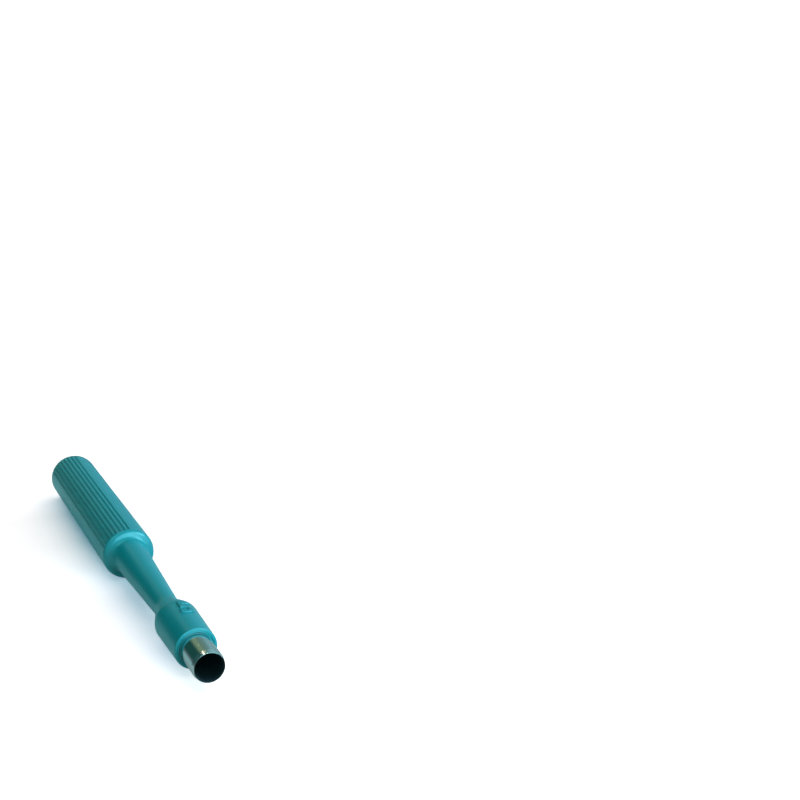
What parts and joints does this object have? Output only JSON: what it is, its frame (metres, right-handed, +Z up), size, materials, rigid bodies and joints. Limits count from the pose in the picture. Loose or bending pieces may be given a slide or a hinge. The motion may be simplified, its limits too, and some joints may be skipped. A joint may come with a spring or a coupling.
{
  "type": "biopsy punch",
  "caption": "Disposable skin biopsy punch lying on its side: grooved round grip with a collar, tapered neck and flared head holding a sharp-edged steel tube.",
  "frame": {"origin": "on the floor, below the middle of the punch as it lies on its grip", "axes": "+X along the punch from the rear of the grip to the cutting edge, +Z up; the neck and head are slimmer than the grip and stay clear of the floor"},
  "size_m": [0.1042, 0.0096, 0.0097],
  "materials": {
    "handle_plastic": "moulded teal plastic with a soft gloss",
    "blade_steel": "drawn stainless tube, polished, with a ground cutting bevel"
  },
  "bodies": {
    "root": {"handle": "handle_plastic", "blade": "blade_steel"}
  },
  "joints": []
}
